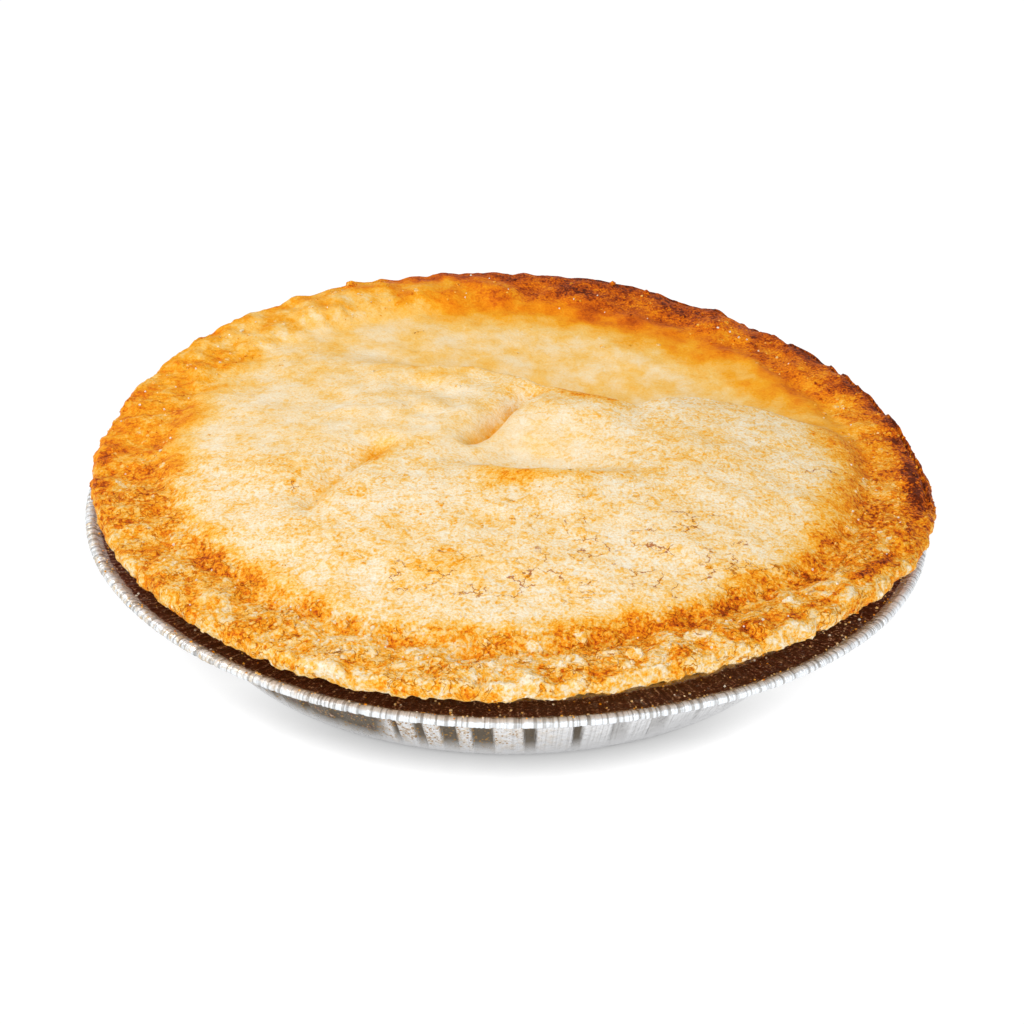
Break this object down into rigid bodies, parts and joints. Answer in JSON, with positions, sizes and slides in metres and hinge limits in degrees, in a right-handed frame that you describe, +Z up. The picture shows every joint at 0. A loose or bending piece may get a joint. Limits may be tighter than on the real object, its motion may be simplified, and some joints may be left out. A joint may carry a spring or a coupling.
{
  "type": "lemon pie",
  "caption": "Round baked pie with a whole golden pastry lid that has folded and sunk behind its crest, in a shallow pleated foil dish with a rolled rim.",
  "frame": {"origin": "on the surface the dish stands on, under the middle of the pie's bounding box", "axes": "+Z up; -Y towards the front of the picture, +X to its right"},
  "size_m": [0.2446, 0.2458, 0.0547],
  "materials": {
    "baked_crust": "dry flaky pastry, pale gold on the lid and browned at the rim",
    "foil": "bright crimped foil"
  },
  "bodies": {
    "root": {"baked_pie": "baked_crust", "foil_dish": "foil"}
  },
  "joints": []
}
